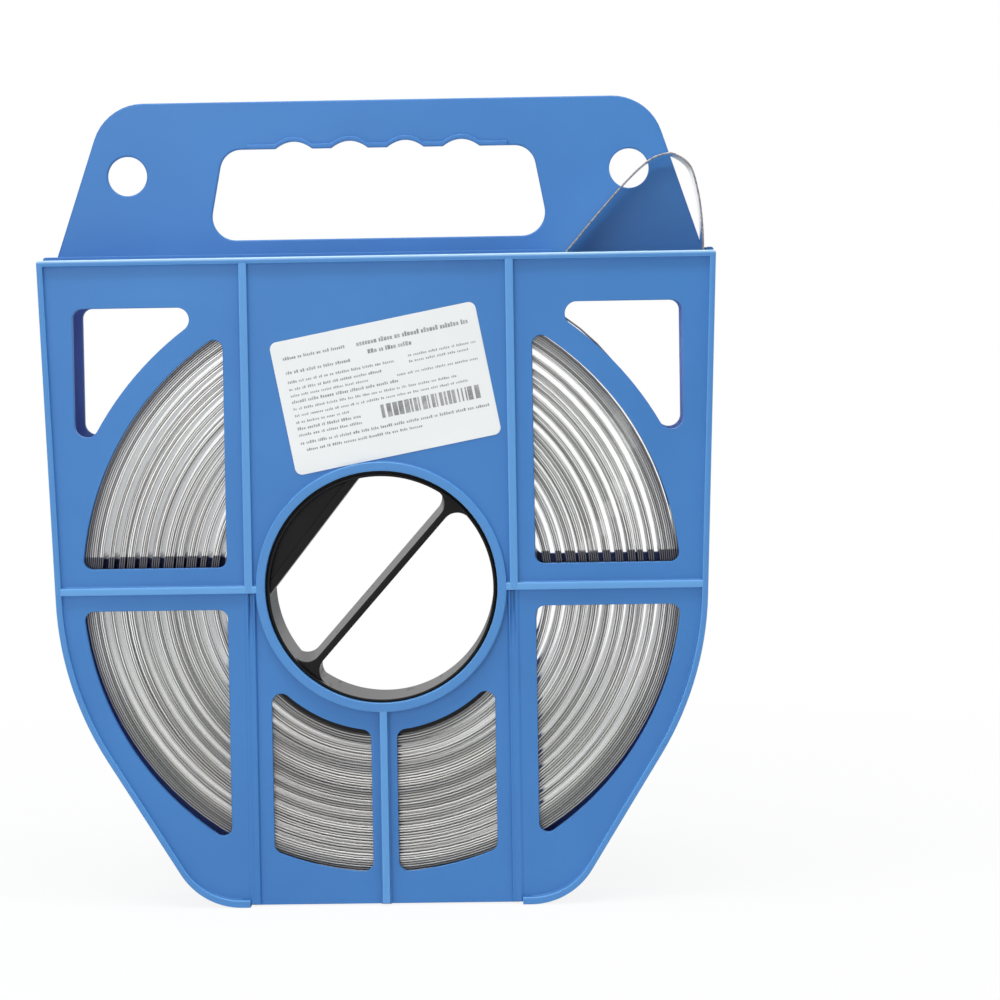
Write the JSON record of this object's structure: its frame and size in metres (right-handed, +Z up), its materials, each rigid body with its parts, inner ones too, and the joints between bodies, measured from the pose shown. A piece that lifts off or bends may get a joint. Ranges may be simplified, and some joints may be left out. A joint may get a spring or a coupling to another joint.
{
  "type": "stainless steel strapping in a carry tote",
  "caption": "Coil of flat stainless steel strapping on a black reel core inside a flat blue moulded carry tote with a handle, its free end looped out of the top.",
  "frame": {"origin": "centre of the bounding box on the floor, under the hub, between the two shells", "axes": "+Z up through the handle, +Y from the front face with the label to the back, +X to the right seen from the front"},
  "size_m": [0.281, 0.031, 0.3368],
  "materials": {
    "blue_plastic": "moulded satin",
    "black_plastic": "moulded gloss",
    "stainless_strip": "cold rolled",
    "white_label": "satin sticker"
  },
  "bodies": {
    "root": {"front_shell": "blue_plastic", "back_shell": "blue_plastic", "reel_core": "black_plastic", "steel_strap": "stainless_strip", "label": "white_label"}
  },
  "joints": []
}
